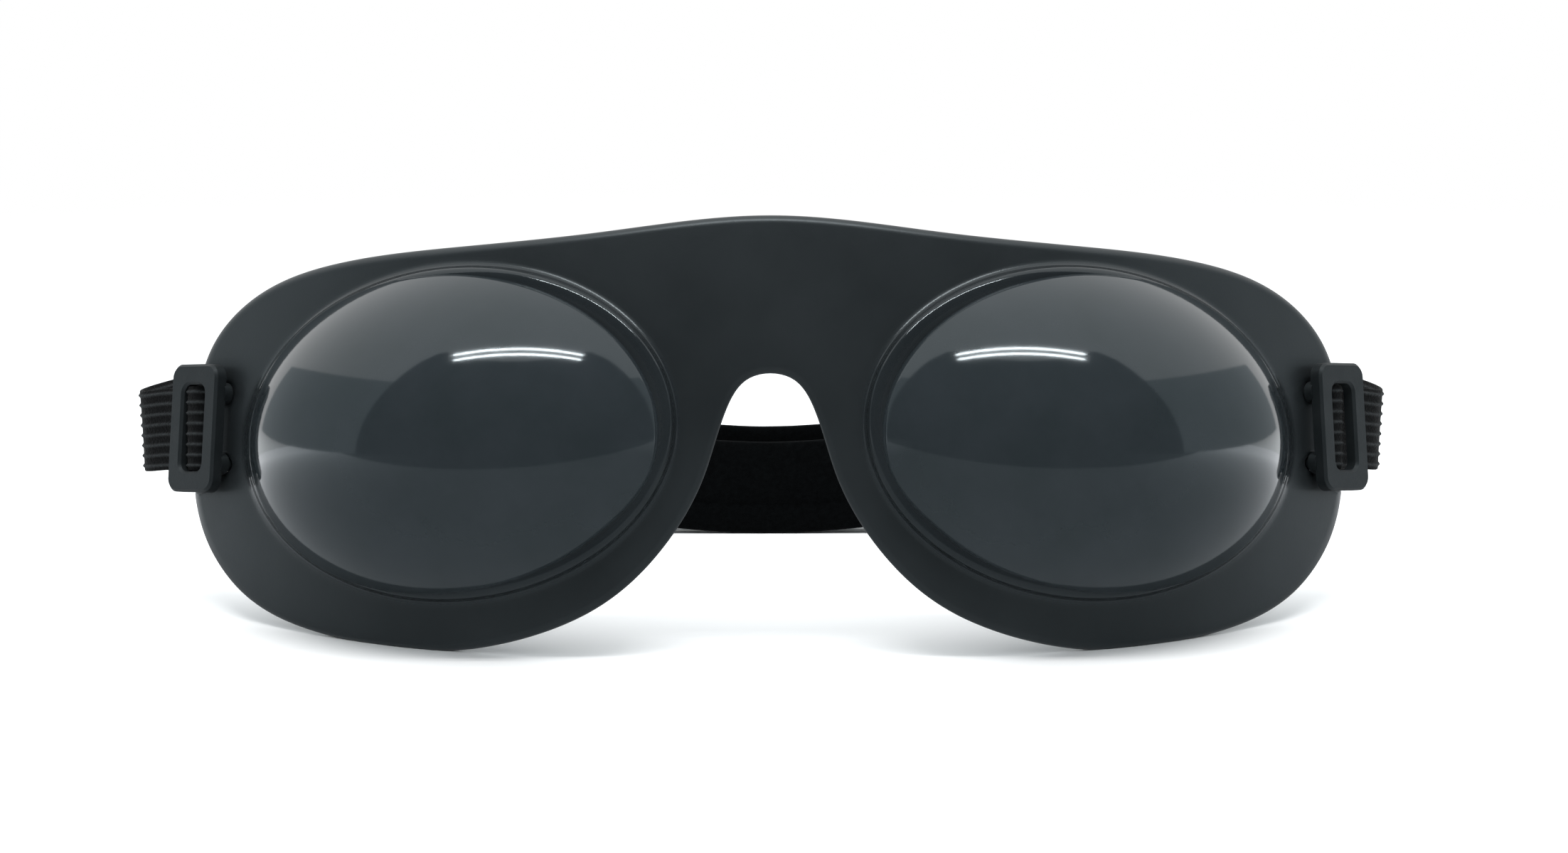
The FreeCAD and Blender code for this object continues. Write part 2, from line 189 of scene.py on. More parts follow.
def spline(points, count, closed=False):
    """Cubic spline through the points by chord length, sampled evenly in that length."""
    p = np.asarray(points, float)
    if closed:
        p = np.vstack([p, p[:1]])
    knots = np.concatenate([[0.0], np.cumsum(np.linalg.norm(np.diff(p, axis=0), axis=1))])
    h = np.diff(knots)
    n = len(p)
    a = np.zeros((n, n))
    b = np.zeros((n, p.shape[1]))
    slope = np.diff(p, axis=0) / h[:, None]
    for i in range(1, n - 1):
        a[i, i - 1:i + 2] = h[i - 1], 2 * (h[i - 1] + h[i]), h[i]
        b[i] = 6 * (slope[i] - slope[i - 1])
    if closed:
        a[0, 0] = 2 * (h[-1] + h[0])
        a[0, 1] = h[0]
        a[0, n - 2] = h[-1]
        b[0] = 6 * (slope[0] - slope[-1])
        a[n - 1, 0] = 1
        a[n - 1, n - 1] = -1
    else:
        a[0, 0] = a[n - 1, n - 1] = 1
    bend = np.linalg.solve(a, b)
    s = np.linspace(0, knots[-1], count, endpoint=not closed)
    i = np.clip(np.searchsorted(knots, s, side="right") - 1, 0, n - 2)
    t = (s - knots[i])[:, None]
    k = h[i][:, None]
    linear = slope[i] - k * (2 * bend[i] + bend[i + 1]) / 6
    return p[i] + linear * t + bend[i] * t ** 2 / 2 + (bend[i + 1] - bend[i]) * t ** 3 / (6 * k)


def smooth_step(t):
    """Eases a share from 0 to 1."""
    t = np.clip(t, 0.0, 1.0)
    return t * t * (3 - 2 * t)


def quarter(radius, run):
    """Height of a quarter circle at a run from its centre."""
    return np.sqrt(np.clip(radius ** 2 - np.clip(run, 0, radius) ** 2, 0, None))


def oval(x, half, count=AROUND, grow=0.0):
    """Points of a cup oval on the left, as (x, z)."""
    a = np.linspace(0, 2 * math.pi, count, endpoint=False)
    p, q = (half[0] + grow) * np.cos(a), (half[1] + grow) * np.sin(a)
    c, s = math.cos(CUP_TILT), math.sin(CUP_TILT)
    return np.column_stack([p * c - q * s - x, p * s + q * c + CUP_Z])


def oval_reach(x, z, centre_x, half):
    """Roughly how far outside the left cup oval a point is."""
    c, s = math.cos(CUP_TILT), math.sin(CUP_TILT)
    p = (x + centre_x) * c + (z - CUP_Z) * s
    q = -(x + centre_x) * s + (z - CUP_Z) * c
    far = np.hypot(p, q)
    share = np.hypot(p / half[0], q / half[1])
    return far - far / np.maximum(share, 1e-6)


def inside(points, loop):
    """Even-odd test of many points against one closed loop."""
    hit = np.zeros(len(points), bool)
    x, z = points[:, 0], points[:, 1]
    for (x0, z0), (x1, z1) in zip(loop, np.roll(loop, -1, axis=0)):
        crosses = (z0 > z) != (z1 > z)
        if crosses.any():
            hit ^= crosses & (x < (x1 - x0) * (z - z0) / (z1 - z0 + 1e-12) + x0)
    return hit


def new_piece(name, vertices, faces, material, smooth=True):
    """A mesh object with one material."""
    mesh = bpy.data.meshes.new(name)
    mesh.from_pydata([tuple(v) for v in vertices], [], faces)
    mesh.validate()
    mesh.update()
    piece = bpy.data.objects.new(name, mesh)
    bpy.context.scene.collection.objects.link(piece)
    for polygon in mesh.polygons:
        polygon.use_smooth = smooth
    mesh.materials.append(material)
    return piece


def paint(piece, name, values):
    """Stores one number per vertex for the material to read."""
    layer = piece.data.attributes.new(name, "FLOAT", "POINT")
    layer.data.foreach_set("value", np.asarray(values, dtype=np.float32))


def turn_outward(piece):
    """Makes every face of a closed piece look out."""
    mesh = bmesh.new()
    mesh.from_mesh(piece.data)
    bmesh.ops.recalc_face_normals(mesh, faces=mesh.faces)
    mesh.to_mesh(piece.data)
    mesh.free()
    piece.data.update()


def stacked(name, loops, material, close_start=True, close_end=True):
    """A closed skin through loops of equal length, with a fan at each open end."""
    count = len(loops[0])
    vertices = [tuple(p) for loop in loops for p in loop]
    faces = []
    for i in range(len(loops) - 1):
        for j in range(count):
            k = (j + 1) % count
            faces.append((i * count + j, i * count + k, (i + 1) * count + k, (i + 1) * count + j))
    if close_start:
        vertices.append(tuple(np.mean(loops[0], axis=0)))
        hub = len(vertices) - 1
        faces += [(hub, (j + 1) % count, j) for j in range(count)]
    if close_end:
        vertices.append(tuple(np.mean(loops[-1], axis=0)))
        hub = len(vertices) - 1
        last = (len(loops) - 1) * count
        faces += [(hub, last + j, last + (j + 1) % count) for j in range(count)]
    piece = new_piece(name, vertices, faces, material)
    turn_outward(piece)
    return piece


def mirrored(points):
    """Left to right."""
    return np.asarray(points) * np.array([-1.0, 1.0, 1.0])


# Materials

COOL = (0.86, 0.96, 1.0, 1.0)

class Nodes:
    """Short names for building one material's node tree."""

    def __init__(self, name):
        self.material = bpy.data.materials.new(name)
        self.material.use_nodes = True
        self.tree = self.material.node_tree
        self.tree.nodes.clear()
        self.shader = self.add("ShaderNodeBsdfPrincipled")
        out = self.add("ShaderNodeOutputMaterial")
        self.link(self.shader.outputs["BSDF"], out.inputs["Surface"])
        self.place = self.add("ShaderNodeTexCoord").outputs["Object"]

    def add(self, kind, **settings):
        node = self.tree.nodes.new(kind)
        for key, value in settings.items():
            setattr(node, key, value)
        return node

    def link(self, a, b):
        self.tree.links.new(a, b)

    def set(self, **values):
        for key, value in values.items():
            self.shader.inputs[key.replace("_", " ")].default_value = value

    def noise(self, scale, detail=3.0, rough=0.5):
        node = self.add("ShaderNodeTexNoise")
        node.inputs["Scale"].default_value = scale
        node.inputs["Detail"].default_value = detail
        node.inputs["Roughness"].default_value = rough
        self.link(self.place, node.inputs["Vector"])
        return node.outputs["Fac"]

    def cells(self, scale):
        node = self.add("ShaderNodeTexVoronoi")
        node.inputs["Scale"].default_value = scale
        self.link(self.place, node.inputs["Vector"])
        return node.outputs["Distance"]

    def waves(self, scale, direction):
        node = self.add("ShaderNodeTexWave", wave_type="BANDS", bands_direction=direction)
        node.inputs["Scale"].default_value = scale
        self.link(self.place, node.inputs["Vector"])
        return node.outputs["Fac"]

    def ramp(self, source, stops):
        node = self.add("ShaderNodeValToRGB")
        ramp = node.color_ramp
        while len(ramp.elements) < len(stops):
            ramp.elements.new(0.5)
        for element, (position, colour) in zip(ramp.elements, stops):
            element.position = position
            element.color = (*colour, 1.0)
        self.link(source, node.inputs["Fac"])
        return node.outputs["Color"]

    def span(self, source, low, high):
        """A share from 0 to 1, spread from low to high."""
        node = self.add("ShaderNodeMapRange")
        node.inputs["To Min"].default_value = low
        node.inputs["To Max"].default_value = high
        self.link(source, node.inputs["Value"])
        return node.outputs["Result"]

    def span_from(self, source, low, high):
        """A value between low and high, as a share from 0 to 1."""
        node = self.add("ShaderNodeMapRange")
        node.inputs["From Min"].default_value = low
        node.inputs["From Max"].default_value = high
        self.link(source, node.inputs["Value"])
        return node.outputs["Result"]

    def painted(self, name):
        """The numbers stored per vertex under this name."""
        node = self.add("ShaderNodeAttribute", attribute_name=name)
        return node.outputs["Fac"]

    def less(self, a, b, share):
        """a, lowered by a share of b."""
        return self.mix(a, b, -share)

    def blend(self, a, b, factor):
        node = self.add("ShaderNodeMix", data_type="RGBA")
        self.link(factor, node.inputs["Factor"])
        self.link(a, node.inputs["A"])
        self.link(b, node.inputs["B"])
        return node.outputs["Result"]

    def mix(self, a, b, share):
        """a, raised by a share of b."""
        node = self.add("ShaderNodeMath", operation="MULTIPLY_ADD")
        self.link(b, node.inputs[0])
        node.inputs[1].default_value = share
        self.link(a, node.inputs[2])
        return node.outputs["Value"]

    def bump(self, height, strength, distance):
        node = self.add("ShaderNodeBump")
        node.inputs["Strength"].default_value = strength
        node.inputs["Distance"].default_value = distance
        self.link(height, node.inputs["Height"])
        self.link(node.outputs["Normal"], self.shader.inputs["Normal"])

    def colour(self, source):
        self.link(source, self.shader.inputs["Base Color"])

    def roughness(self, source):
        self.link(source, self.shader.inputs["Roughness"])


def soft_shell_material():
    n = Nodes("soft_shell")
    blotch = n.noise(60.0, 4.0)
    n.colour(n.ramp(blotch, [(0.3, (0.009, 0.011, 0.0122)), (0.7, (0.013, 0.0155, 0.017))]))
    n.roughness(n.less(n.span(n.noise(900.0, 3.0, 0.6), 0.34, 0.44), n.painted("polish"), 0.29))
    n.bump(n.mix(n.noise(2600.0, 2.0), n.noise(240.0, 3.0), 0.6), 0.10, 0.00010)
    n.set(Specular_IOR_Level=0.6, Specular_Tint=COOL)
    return n.material


def dome_material():
    n = Nodes("gloss_dome")
    n.colour(n.ramp(n.noise(90.0, 5.0, 0.6), [(0.3, (0.014, 0.018, 0.020)), (0.7, (0.018, 0.022, 0.025))]))
    n.roughness(n.span(n.noise(500.0, 4.0, 0.6), 0.06, 0.11))
    n.bump(n.noise(700.0, 3.0), 0.03, 0.00006)
    n.set(Specular_IOR_Level=0.65, Specular_Tint=COOL)
    return n.material


def buckle_material():
    n = Nodes("buckle_plastic")
    n.colour(n.ramp(n.noise(300.0, 4.0), [(0.3, (0.007, 0.009, 0.010)), (0.7, (0.010, 0.012, 0.013))]))
    n.roughness(n.span(n.noise(1400.0, 2.0), 0.42, 0.54))
    n.bump(n.noise(3800.0, 2.0), 0.18, 0.00008)
    n.set(Specular_IOR_Level=0.4, Specular_Tint=COOL)
    return n.material


def elastic_material():
    n = Nodes("ribbed_elastic")
    flat = n.ramp(n.noise(1500.0, 3.0), [(0.3, (0.0012, 0.0016, 0.0018)), (0.75, (0.003, 0.0035, 0.004))])
    # The rib crests get a colour about ten times lighter than the flats: a painted highlight along each
    # crest, on top of the modelled ribs.
    ridge = n.ramp(n.noise(1900.0, 3.0, 0.7), [(0.3, (0.012, 0.014, 0.015)), (0.75, (0.034, 0.038, 0.040))])
    n.colour(n.blend(flat, ridge, n.painted("ridge")))
    threads = n.mix(n.cells(2600.0), n.noise(5200.0, 2.0), 0.7)
    n.bump(threads, 0.45, 0.0002)
    n.set(Roughness=0.8, Specular_IOR_Level=0.15, Sheen_Weight=0.05, Sheen_Roughness=0.4)
    return n.material


def band_material():
    n = Nodes("soft_band")
    fluff = n.noise(1200.0, 4.0, 0.7)
    n.colour(n.ramp(fluff, [(0.3, (0.0004, 0.0006, 0.0008)), (0.8, (0.002, 0.0026, 0.003))]))
    n.bump(n.mix(n.noise(3400.0, 4.0, 0.8), n.noise(420.0, 3.0), 0.8), 0.5, 0.00035)
    n.set(Roughness=0.9, Sheen_Weight=0.02, Sheen_Roughness=0.5, Specular_IOR_Level=0.04)
    return n.material


def foam_material():
    n = Nodes("foam")
    # The pits of the cells are coloured darker than their rims: painted shade in the foam's pores.
    n.colour(n.ramp(n.cells(1300.0), [(0.1, (0.012, 0.013, 0.014)), (0.6, (0.034, 0.036, 0.039))]))
    n.bump(n.cells(1300.0), 0.5, 0.0003)
    n.set(Roughness=0.8, Specular_IOR_Level=0.3)
    return n.material


def pad_material():
    n = Nodes("pad_fabric")
    weave = n.mix(n.waves(820.0, "X"), n.waves(820.0, "Z"), 1.0)
    n.colour(n.ramp(n.noise(700.0, 4.0), [(0.3, (0.030, 0.032, 0.036)), (0.7, (0.055, 0.058, 0.063))]))
    n.bump(n.mix(weave, n.cells(420.0), 1.6), 0.4, 0.00025)
    n.set(Roughness=0.88, Sheen_Weight=0.3)
    return n.material


def hook_material():
    n = Nodes("hook_tape")
    n.colour(n.ramp(n.cells(1500.0), [(0.1, (0.022, 0.022, 0.024)), (0.5, (0.006, 0.006, 0.007))]))
    n.bump(n.cells(1500.0), 0.9, 0.0006)
    n.set(Roughness=0.55)
    return n.material


def pile_material():
    n = Nodes("pile_tape")
    n.colour(n.ramp(n.noise(2200.0, 5.0, 0.8), [(0.3, (0.004, 0.004, 0.005)), (0.7, (0.018, 0.018, 0.020))]))
    n.bump(n.noise(2600.0, 5.0, 0.9), 1.0, 0.0008)
    n.set(Roughness=0.95, Sheen_Weight=0.5)
    return n.material


# Frame

def rim_loop():
    """The outline with its buckle notches, clockwise from the top of the brow, as (x, z)."""
    left = [(-x, z) for x, z in OUTLINE[-2:0:-1]]
    rim = spline(OUTLINE + left, RIM_POINTS, closed=True)
    near = smooth_step((NOTCH_HALF + NOTCH_EASE / 2 - np.abs(rim[:, 1] - BUCKLE_V)) / NOTCH_EASE)
    side = np.sign(rim[:, 0])
    far = np.abs(rim[:, 0]) > NOTCH_U
    rim[far, 0] += ((side * NOTCH_U - rim[:, 0]) * near)[far]
    return rim


def inset_loop(loop, inset):
    """A clockwise loop, moved inward."""
    ahead = np.roll(loop, -1, axis=0) - np.roll(loop, 1, axis=0)
    ahead /= np.linalg.norm(ahead, axis=1)[:, None]
    normal = np.column_stack([ahead[:, 1], -ahead[:, 0]])
    return loop + normal * inset


def step_reach(points):
    """How far outside the nearer step's oval each point of the face is."""
    return oval_reach(-np.abs(points[:, 0]), points[:, 1], CUP_X, STEP_HALF)


def step_height(points):
    """How far the oval steps stand ahead of the frame's face."""
    reach = step_reach(points)
    top = STEP_HIGH - STEP_ROUND + quarter(STEP_ROUND, reach + STEP_ROUND)
    foot = STEP_FILLET - quarter(STEP_FILLET, STEP_FILLET - reach)
    return np.where(reach <= 0, top, foot)


def stud_centres():
    """The buckle studs, as (x, z) on the left of the face."""
    return [(-STUD_U, BUCKLE_V + y) for y in (-STUD_SPREAD / 2, STUD_SPREAD / 2)]


class Plan:
    """Points of the flattened frame, each with its inset from the rim, and the edges and holes among them."""

    def __init__(self):
        self.points = []
        self.insets = []
        self.edges = []
        self.holes = []

    def add_loop(self, loop, inset=INTERIOR, hole=False):
        start = len(self.points)
        count = len(loop)
        self.add_points(loop, inset)
        self.edges.extend((start + i, start + (i + 1) % count) for i in range(count))
        if hole:
            self.holes.append((start, count))

    def add_points(self, points, inset=INTERIOR):
        self.points.extend(map(tuple, points))
        self.insets.extend([inset] * len(points))


def fill_points(rim):
    """A staggered grid of points over the open parts of the frame."""
    gx, gz = np.meshgrid(np.arange(*FILL_X, GRID), np.arange(*FILL_Z, GRID))
    grid = np.column_stack([gx.ravel(), gz.ravel()])
    odd = (np.round(grid[:, 0] / GRID) % 2) > 0
    grid[:, 1] += np.where(odd, GRID / 2, 0)
    away = np.min(np.linalg.norm(grid[:, None, :] - rim[None, ::2, :], axis=2), axis=1)
    keep = inside(grid, rim) & (away > FILL_CLEAR_RIM)
    keep &= step_reach(grid) > STEP_LOOPS[-1] + FILL_CLEAR
    for x, z in stud_centres():
        keep &= np.hypot(np.abs(grid[:, 0]) + x, grid[:, 1] - z) > STUD_HOLE + FILL_CLEAR
    return grid[keep]


def frame_plan(rims):
    """The rim, the seats, the steps, the stud holes and the points between them."""
    plan = Plan()
    for loop, inset in zip(rims, RIM_INSETS):
        plan.add_loop(loop, inset)
    turns = np.linspace(0, 2 * math.pi, STUD_POINTS, endpoint=False)
    for side in (1, -1):
        flip = np.array([side, 1])
        plan.add_loop(oval(SEAT_X, SEAT_HALF, SEAT_POINTS) * flip, hole=True)
        for grow in STEP_LOOPS:
            plan.add_loop(oval(CUP_X, STEP_HALF, STEP_POINTS, grow) * flip)
        for x, z in stud_centres():
            ring = np.column_stack([x + STUD_HOLE * np.cos(turns), z + STUD_HOLE * np.sin(turns)])
            plan.add_loop(ring * flip, hole=True)
    plan.add_points(fill_points(rims[-1]))
    return plan


def frame_triangles(plan, rim):
    """The plan's points, where each came from, and its triangles without the holes."""
    found = delaunay_2d_cdt([Vector(p) for p in plan.points], plan.edges, [], 0, 1e-5)
    flat = np.array([tuple(v) for v in found[0]])
    origin = [o[0] if o else -1 for o in found[3]]
    triangles = np.array(found[2])
    middle = flat[triangles].mean(axis=1)
    keep = inside(middle, rim)
    for start, count in plan.holes:
        keep &= ~inside(middle, np.array(plan.points[start:start + count]))
    return flat, origin, triangles[keep]


def frame_faces(plan, origin, triangles, rim_count):
    """Front and back triangles, which share the rim's vertices, and the walls of the holes."""
    place = {o: i for i, o in enumerate(origin) if o >= 0}
    rim_vertices = {place[i] for i in range(rim_count)}
    count = len(origin)
    other = {i: (i if i in rim_vertices else i + count) for i in range(count)}
    faces = [tuple(t) for t in triangles]
    faces += [tuple(other[i] for i in reversed(t)) for t in triangles]
    for start, number in plan.holes:
        for i in range(number):
            a, b = place[start + i], place[start + (i + 1) % number]
            faces.append((a, b, other[b], other[a]))
    return faces


def frame_mesh(material):
    """The frame as one closed skin with a round rim, its steps painted for the material."""
    rims = [inset_loop(rim_loop(), inset) for inset in RIM_INSETS]
    plan = frame_plan(rims)
    flat, origin, triangles = frame_triangles(plan, rims[0])
    faces = frame_faces(plan, origin, triangles, RIM_POINTS)

    inset = np.array([plan.insets[o] if o >= 0 else INTERIOR for o in origin])
    radius = FRAME_THICK / 2
    drop = radius - quarter(radius, radius - inset)
    x, z = flat[:, 0], flat[:, 1]
    base = depth(x, z)
    front = np.column_stack([x, base - step_height(flat) + drop, z])
    back = np.column_stack([x, base + FRAME_THICK - drop, z])
    vertices = stand(np.vstack([front, back]))
    vertices[:, 2] = np.maximum(vertices[:, 2], 0.0)

    used = sorted({i for face in faces for i in face})
    order = {old: new for new, old in enumerate(used)}
    faces = [tuple(order[i] for i in face) for face in faces]
    piece = new_piece("soft_frame", vertices[used], faces, material)
    turn_outward(piece)
    reach = step_reach(flat)
    polish = smooth_step((STEP_FILLET - reach) / STEP_FILLET)
    polish *= smooth_step((reach + 2 * STEP_ROUND) / STEP_ROUND)
    paint(piece, "polish", np.concatenate([polish, polish])[used])
    return piece


# Domes

def dome_rows(shrink, rows):
    """Loops over the ellipsoid from its pole to the step's ledge, in the left face frame."""
    radii = np.array(DOME_RADII) - shrink
    pole = np.array(DOME_POLE) / np.linalg.norm(DOME_POLE)
    side = np.cross([0.0, 0.0, 1.0], pole)
    side /= np.linalg.norm(side)
    over = np.cross(pole, side)
    a = np.linspace(0, 2 * math.pi, AROUND, endpoint=False)[:, None]
    outward = side * np.cos(a) + over * np.sin(a)
    c, s = math.cos(CUP_TILT), math.sin(CUP_TILT)

    def point(angle):
        unit = pole * np.cos(angle)[:, None] + outward * np.sin(angle)[:, None]
        p = unit * radii
        return np.column_stack([p[:, 0] * c - p[:, 2] * s, p[:, 1], p[:, 0] * s + p[:, 2] * c]) + DOME_CENTRE

    low, high = np.zeros(AROUND), np.full(AROUND, math.radians(120))
    for _ in range(40):
        middle = (low + high) / 2
        p = point(middle)
        ahead = p[:, 1] < depth(np.clip(p[:, 0], -110, 110), p[:, 2]) - STEP_HIGH
        low = np.where(ahead, middle, low)
        high = np.where(ahead, high, middle)
    return [point(low * t) for t in np.linspace(1.0 / rows, 1.0, rows)]


def oval_like(loop, half, back):
    """An oval of the cup whose points lie in the same directions as the loop's."""
    c, s = math.cos(CUP_TILT), math.sin(CUP_TILT)
    p = (loop[:, 0] + SEAT_X) * c + (loop[:, 2] - CUP_Z) * s
    q = -(loop[:, 0] + SEAT_X) * s + (loop[:, 2] - CUP_Z) * c
    a = np.arctan2(q / half[1], p / half[0])
    p, q = half[0] * np.cos(a), half[1] * np.sin(a)
    x, z = p * c - q * s - SEAT_X, p * s + q * c + CUP_Z
    return np.column_stack([x, depth(x, z) + back, z])


def dome_loops():
    """Over the dome, down its plug and back up inside."""
    outer = dome_rows(0.0, OUTER_ROWS)
    inner = dome_rows(DOME_WALL, INNER_ROWS)
    plug = [h - PLUG_GAP for h in SEAT_HALF]
    bore = [h - PLUG_WALL for h in plug]
    edge = outer[-1].copy()
    edge[:, 1] += DOME_EDGE
    loops = outer + [edge]
    loops.append(oval_like(edge, plug, -STEP_HIGH + DOME_EDGE))
    loops.append(oval_like(edge, plug, FRAME_THICK))
    loops.append(oval_like(edge, bore, FRAME_THICK))
    loops.append(oval_like(edge, bore, -STEP_HIGH))
    return loops + inner[::-1]


# Pads

def foam_ring(x, half, back, grow=0.0):
    """An oval of the foam, at a distance behind the frame's front face."""
    p = oval(x, half, AROUND, grow)
    return np.column_stack([p[:, 0], depth(p[:, 0], p[:, 1]) + back, p[:, 1]])


def foam_outside():
    """Front middle, round the core and the lip, and over the lip's round back edge."""
    loops = [foam_ring(SEAT_X, FOAM_HALF, 0.0, grow) for grow in (-18.0, -14.0, -9.0, -4.0, -1.2)]
    for back, grow in ((0.1, -0.5), (0.5, -0.1), (1.2, 0.0), (2.4, 0.0), (LIP_FRONT, 0.1)):
        loops.append(foam_ring(SEAT_X, FOAM_HALF, back, grow))
    for back, grow in ((0.0, -1.0), (0.1, -0.4), (0.5, -0.05), (1.2, 0.0)):
        loops.append(foam_ring(SEAT_X, LIP_HALF, LIP_FRONT + back, grow))
    for angle in np.linspace(0, math.pi / 2, 7):
        back = FOAM_BACK - FOAM_ROUND * (1 - math.sin(angle))
        loops.append(foam_ring(SEAT_X, LIP_HALF, back, -FOAM_ROUND * (1 - math.cos(angle))))
    return loops


def foam_loops():
    """The outside, then the crowned back and down into the recess."""
    loops = foam_outside()
    outer = loops[-1]
    edge = foam_ring(RECESS_X, RECESS_HALF, FOAM_BACK, 1.2)
    for share in (0.25, 0.5, 0.75):
        loop = outer * (1 - share) + edge * share
        crown = FOAM_CROWN * math.sin(share * math.pi)
        loop[:, 1] = depth(loop[:, 0], loop[:, 2]) + FOAM_BACK + crown
        loops.append(loop)
    for down, grow in ((0.0, 1.2), (0.2, 0.5), (0.8, 0.1), (1.6, 0.0)):
        loops.append(foam_ring(RECESS_X, RECESS_HALF, FOAM_BACK - down, grow))
    floor = FOAM_BACK - RECESS_DEEP
    for up, grow in ((0.8, 0.0), (0.2, -0.3), (0.0, -1.0), (0.0, -4.0), (0.0, -8.0), (0.0, -11.0)):
        loops.append(foam_ring(RECESS_X, RECESS_HALF, floor + up, grow))
    return loops


def bead_loops():
    """A crowned pack with a seam round its edge and the beads showing through the cloth."""
    turn = math.asin(RECESS_X / WRAP_RADIUS)
    floor = float(depth(np.array(RECESS_X), np.array(CUP_Z))) + FOAM_BACK - RECESS_DEEP
    raised = (BEADS_HALF[1] + BEADS_GAP) / math.cos(turn)
    c, s = math.cos(CUP_TILT), math.sin(CUP_TILT)
    a = np.linspace(0, 2 * math.pi, AROUND, endpoint=False)
    loops = []
    for lift in np.linspace(-0.5, 0.5, 33) * math.pi * 0.985:
        wide = math.cos(lift) ** 0.62
        high = math.copysign(abs(math.sin(lift)) ** 0.9, lift)
        seam = 1.0 + 0.035 * math.exp(-(lift / 0.07) ** 2)
        p = BEADS_HALF[0] * wide * seam * 0.97 * np.cos(a)
        q = BEADS_HALF[2] * wide * seam * 0.97 * np.sin(a)
        t = np.full_like(p, BEADS_HALF[1] * high)
        bumps = np.array([noise.noise(Vector((u / 1.5, v / 1.5, w / 1.5))) for u, v, w in zip(p, q, t)])
        t = t * (1.0 + 0.07 * bumps)
        x, z = p * c - q * s, p * s + q * c
        y = t * math.cos(turn) - x * math.sin(turn)
        x = x * math.cos(turn) + t * math.sin(turn)
        loops.append(np.column_stack([x - RECESS_X, y + floor + raised, z + CUP_Z]))
    return loops


# Strap

def buckle_basis():
    """The left buckle's origin and its inward, up and outward directions, in the face frame."""
    step = 0.01
    u, v = -STUD_U, BUCKLE_V
    slope_x = (depth(u + step, v) - depth(u - step, v)) / (2 * step)
    slope_z = (depth(u, v + step) - depth(u, v - step)) / (2 * step)
    normal = np.array([slope_x, -1.0, slope_z])
    normal /= np.linalg.norm(normal)
    up = np.array([0.0, 0.0, 1.0]) - normal * normal[2]
    up /= np.linalg.norm(up)
    inward = np.cross(up, normal)
    origin = np.array([u, depth(u, v), v]) + normal * STAND_OFF - inward * STUD_X
    return origin, inward, up, normal


def loop_points(count):
    """The strap's middle line round the back, on the table, in millimetres."""
    left = np.array(LOOP_LINE)
    right = left[-2::-1] * np.array([-1.0, 1.0, 1.0])
    line = spline(np.vstack([left, right]), count)
    line[:, 1] -= MIDDLE_Y
    return line


def ribbon(line, ups, profile):
    """Loops of a flat strap: each holds the profile's (thickness, width) points at one place of the line."""
    ahead = np.gradient(line, axis=0)
    ahead /= np.linalg.norm(ahead, axis=1)[:, None]
    ups = ups - ahead * np.sum(ups * ahead, axis=1)[:, None]
    ups /= np.linalg.norm(ups, axis=1)[:, None]
    side = np.cross(ahead, ups)
    shape = np.asarray(profile)
    return [at + np.outer(shape[:, 0], s) + np.outer(shape[:, 1], u) for at, s, u in zip(line, side, ups)]


def ribbed_profile():
    """Cross-section of the elastic: lengthwise ribs on both faces."""
    steps = RIBS * 12
    z = np.linspace(-0.5, 0.5, steps + 1) * ELASTIC_WIDE
    ridge = ridge_share(z)
    half = ELASTIC_THICK / 2 - RIB_HIGH + RIB_HIGH * ridge
    half[[0, -1]] *= 0.55
    front = np.column_stack([half, z])
    rear = np.column_stack([-half, z])[::-1]
    return np.vstack([front, rear]), np.concatenate([ridge, ridge[::-1]])


def ridge_share(z):
    """1 on the crest of a rib and 0 in the flat between two ribs; it shapes the ribs and places their painted
    highlight.
    """
    return np.abs(np.sin((z / ELASTIC_WIDE + 0.5) * RIBS * math.pi)) ** 10


def elastic_line():
    """The left elastic's middle line and up directions, from its sewn end round the bar to the seam."""
    origin, inward, up, normal = buckle_basis()
    wrap = np.array([origin + inward * x + normal * z for x, z in WRAP_RIBBON])
    wrap = stand(wrap) / MM
    back = np.array(LOOP_LINE)
    back[:, 1] -= MIDDLE_Y
    bend = back[0] + np.array(BEND_SHIFT)
    line = spline(np.vstack([wrap, bend, back[1:5]]), ELASTIC_STATIONS)
    tip, foot = stand(np.array([up, np.zeros(3)]))
    buckle_up = (tip - foot) / np.linalg.norm(tip - foot)
    share = smooth_step((line[:, 1] - UPRIGHT_START) / UPRIGHT_RUN)[:, None]
    ups = buckle_up * (1 - share) + np.array([0.0, 0.0, 1.0]) * share
    end = np.searchsorted(line[WRAP_STATIONS:, 0], -SEAM + SEAM_POCKET) + WRAP_STATIONS
    return line[:end], ups[:end]


def elastic_piece(side, line, ups, material):
    """One elastic, which bulges a little at its fold, with its rib crests stored for the material's painted
    highlight.
    """
    away = (line[:, 1] - (LOOP_LINE[0][1] - MIDDLE_Y)) / FOLD_SPREAD
    line = line.copy()
    ups = ups.copy()
    line[:, 0] -= FOLD_BULGE[side] * np.exp(-away ** 2)
    ups[:, 0] -= FOLD_TWIST * np.exp(-away ** 2)
    profile, ridge = ribbed_profile()
    loops = ribbon(line, ups, profile)
    mid = len(loops) // 3
    for i, loop in enumerate(loops):
        wide = 1.0 + ELASTIC_SPARE / ELASTIC_WIDE * smooth_step(1.0 - i / mid)
        loop[:] = line[i] + (loop - line[i]) * wide
    if side == "right":
        loops = [mirrored(loop) for loop in loops]
    piece = stacked(side + "_ribbed_elastic", [loop * MM for loop in loops], material)
    # The crest share stored here lightens the rib crests in the material: a painted highlight.
    paint(piece, "ridge", np.concatenate([np.tile(ridge, len(loops)), [0.0, 0.0]]))
    return piece


